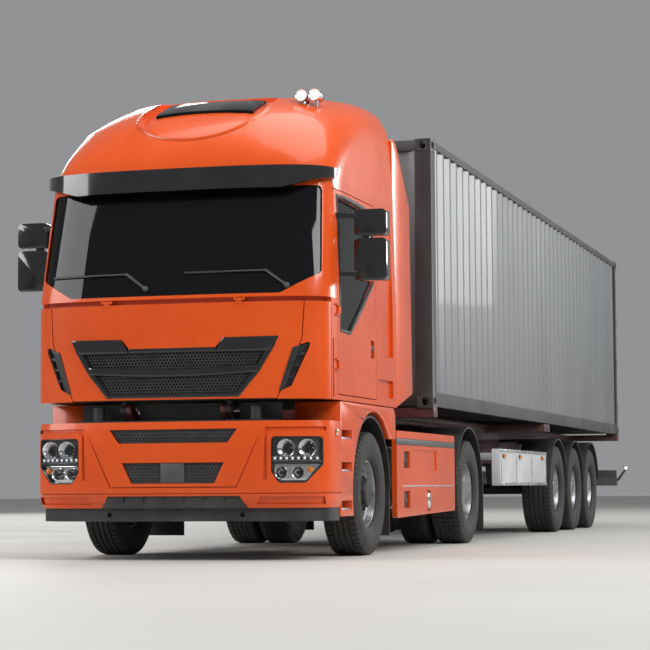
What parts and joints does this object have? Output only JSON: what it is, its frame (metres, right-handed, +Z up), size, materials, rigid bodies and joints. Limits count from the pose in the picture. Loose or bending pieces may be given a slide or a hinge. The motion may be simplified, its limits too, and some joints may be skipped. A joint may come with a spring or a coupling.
{
  "type": "articulated container lorry",
  "caption": "Articulated lorry: high-roof cab-over tractor unit with tilting cab, coupled to a semi-trailer carrying a corrugated container with hinged rear doors.",
  "frame": {"origin": "on the ground below the middle of the vehicle's outline", "axes": "+X forward along the vehicle, +Y to its left, +Z up"},
  "size_m": [16.082, 3.22, 3.94],
  "materials": {
    "body_paint": "gloss orange paint",
    "black_plastic": "matt black moulding",
    "gloss_black": "gloss black",
    "lamp": "clear lens",
    "bright_metal": "bright",
    "chassis_paint": "satin dark red",
    "dark_metal": "satin dark",
    "trim": "soft trim",
    "glass": "tinted",
    "guard_panel": "light grey paint",
    "container_frame_paint": "dark grey paint",
    "container_paint": "grey paint",
    "tyre": "black rubber with bright wheel"
  },
  "bodies": {
    "tractor": {"tractor_frame": "chassis_paint", "front_axle": "dark_metal", "drive_axle": "dark_metal", "engine_block": "dark_metal", "front_bumper": "body_paint", "bumper_valance": "black_plastic", "headlamps": "lamp", "entry_steps": "body_paint", "side_skirts": "body_paint", "fuel_tanks": "bright_metal", "tractor_mudguards": "black_plastic", "fifth_wheel": "dark_metal"},
    "cab": {"cab_floor": "dark_metal", "cab_rear_wall": "body_paint", "cab_sides": "body_paint", "cab_front": "body_paint", "cab_hinges": "bright_metal", "cab_roof": "body_paint", "roof_window": "glass", "windscreen": "glass", "sun_visor": "gloss_black", "corner_deflectors": "body_paint", "side_fairings": "body_paint", "roof_lamps": "bright_metal", "wipers": "black_plastic", "cab_seats": "trim", "dashboard": "trim"},
    "lid": {"front_lid": "body_paint", "front_grille": "black_plastic"},
    "door_left": {"door_left": "body_paint", "door_glass_left": "glass", "mirror_left": "black_plastic"},
    "door_right": {"door_right": "body_paint", "door_glass_right": "glass", "mirror_right": "black_plastic"},
    "knuckle_left": {"knuckle_left": "dark_metal"},
    "knuckle_right": {"knuckle_right": "dark_metal"},
    "trailer": {"trailer_frame": "chassis_paint", "trailer_axles": "dark_metal", "landing_legs": "dark_metal", "trailer_mudguards": "black_plastic", "side_guards": "guard_panel", "rear_underrun": "dark_metal", "container_frame": "container_frame_paint", "container_sides": "container_paint", "container_front": "container_paint", "container_roof": "container_paint"},
    "container_door_left": {"container_door_left": "container_paint"},
    "container_door_right": {"container_door_right": "container_paint"},
    "wheel_front_left": {"wheel_front_left": "tyre"},
    "wheel_front_right": {"wheel_front_right": "tyre"},
    "wheel_drive_left": {"wheel_drive_left": "tyre"},
    "wheel_drive_right": {"wheel_drive_right": "tyre"},
    "wheel_trailer_1_left": {"wheel_trailer_1_left": "tyre"},
    "wheel_trailer_1_right": {"wheel_trailer_1_right": "tyre"},
    "wheel_trailer_2_left": {"wheel_trailer_2_left": "tyre"},
    "wheel_trailer_2_right": {"wheel_trailer_2_right": "tyre"},
    "wheel_trailer_3_left": {"wheel_trailer_3_left": "tyre"},
    "wheel_trailer_3_right": {"wheel_trailer_3_right": "tyre"}
  },
  "joints": [
    {"name": "coupling", "type": "hinge", "parent": "tractor", "child": "trailer", "pos_m": [3.261, 0, 1.215], "axis": [0, 0, 1], "range_deg": [-90, 90]},
    {"name": "steer_left", "type": "hinge", "parent": "tractor", "child": "knuckle_left", "pos_m": [6.461, 0.88, 0.52], "axis": [0, 0, 1], "range_deg": [-40, 40]},
    {"name": "steer_right", "type": "hinge", "parent": "tractor", "child": "knuckle_right", "pos_m": [6.461, -0.88, 0.52], "axis": [0, 0, 1], "range_deg": [-40, 40]},
    {"name": "cab_tilt", "type": "hinge", "parent": "tractor", "child": "cab", "pos_m": [7.921, 0.44, 1.2], "axis": [0, 1, 0], "range_deg": [0, 60]},
    {"name": "lid_hinge", "type": "hinge", "parent": "cab", "child": "lid", "pos_m": [8.027, 0.56, 2.06], "axis": [0, -1, 0], "range_deg": [0, 95]},
    {"name": "door_left_hinge", "type": "hinge", "parent": "cab", "child": "door_left", "pos_m": [7.587, 1.249, 1.55], "axis": [0, 0, -1], "range_deg": [0, 80]},
    {"name": "door_right_hinge", "type": "hinge", "parent": "cab", "child": "door_right", "pos_m": [7.587, -1.249, 1.55], "axis": [0, 0, 1], "range_deg": [0, 80]},
    {"name": "front_left_spin", "type": "hinge", "parent": "knuckle_left", "child": "wheel_front_left", "pos_m": [6.461, 1.062, 0.52], "axis": [0, 1, 0], "continuous": true},
    {"name": "front_right_spin", "type": "hinge", "parent": "knuckle_right", "child": "wheel_front_right", "pos_m": [6.461, -1.062, 0.52], "axis": [0, 1, 0], "continuous": true},
    {"name": "drive_left_spin", "type": "hinge", "parent": "tractor", "child": "wheel_drive_left", "pos_m": [2.661, 0.9125, 0.52], "axis": [0, 1, 0], "continuous": true},
    {"name": "drive_right_spin", "type": "hinge", "parent": "tractor", "child": "wheel_drive_right", "pos_m": [2.661, -0.9125, 0.52], "axis": [0, 1, 0], "continuous": true},
    {"name": "trailer_1_left_spin", "type": "hinge", "parent": "trailer", "child": "wheel_trailer_1_left", "pos_m": [-2.589, 1.0525, 0.536], "axis": [0, 1, 0], "continuous": true},
    {"name": "trailer_1_right_spin", "type": "hinge", "parent": "trailer", "child": "wheel_trailer_1_right", "pos_m": [-2.589, -1.0525, 0.536], "axis": [0, 1, 0], "continuous": true},
    {"name": "trailer_2_left_spin", "type": "hinge", "parent": "trailer", "child": "wheel_trailer_2_left", "pos_m": [-3.899, 1.0525, 0.536], "axis": [0, 1, 0], "continuous": true},
    {"name": "trailer_2_right_spin", "type": "hinge", "parent": "trailer", "child": "wheel_trailer_2_right", "pos_m": [-3.899, -1.0525, 0.536], "axis": [0, 1, 0], "continuous": true},
    {"name": "trailer_3_left_spin", "type": "hinge", "parent": "trailer", "child": "wheel_trailer_3_left", "pos_m": [-5.209, 1.0525, 0.536], "axis": [0, 1, 0], "continuous": true},
    {"name": "trailer_3_right_spin", "type": "hinge", "parent": "trailer", "child": "wheel_trailer_3_right", "pos_m": [-5.209, -1.0525, 0.536], "axis": [0, 1, 0], "continuous": true},
    {"name": "container_door_left_hinge", "type": "hinge", "parent": "trailer", "child": "container_door_left", "pos_m": [-8.021, 1.203, 2], "axis": [0, 0, -1], "range_deg": [0, 270]},
    {"name": "container_door_right_hinge", "type": "hinge", "parent": "trailer", "child": "container_door_right", "pos_m": [-8.021, -1.203, 2], "axis": [0, 0, 1], "range_deg": [0, 270]}
  ],
  "couplings": [
    {"joint": "steer_right", "follows": "steer_left", "ratio": 1}
  ]
}
